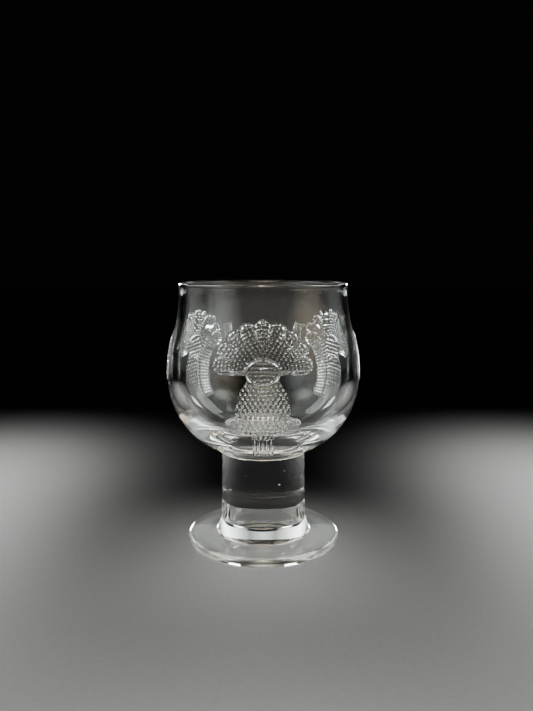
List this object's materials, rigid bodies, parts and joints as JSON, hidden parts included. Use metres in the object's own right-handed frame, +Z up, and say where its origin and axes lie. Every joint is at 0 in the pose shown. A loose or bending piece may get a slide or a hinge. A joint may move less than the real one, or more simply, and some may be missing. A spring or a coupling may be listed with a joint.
{
  "type": "shot glass",
  "caption": "Footed shot glass in clear glass: a round bowl with a moulded flower relief on a short thick stem, a button and a disc foot.",
  "frame": {"origin": "on the glass's axis, at the level of the ring that the foot rests on", "axes": "+Z up along the axis towards the mouth; one of the daisies of the relief faces -Y"},
  "size_m": [0.055, 0.0547, 0.075],
  "materials": {
    "bowl_glass": "clear colourless soda glass, fire polished, with a moulded relief of beads and ribs outside",
    "stem_glass": "clear colourless soda glass, solid, with a few tiny seeds",
    "button_glass": "clear colourless soda glass, solid",
    "foot_glass": "clear colourless soda glass, with fine rest wear on the ring underneath"
  },
  "bodies": {
    "root": {"bowl": "bowl_glass", "stem": "stem_glass", "button": "button_glass", "foot": "foot_glass"}
  },
  "joints": []
}
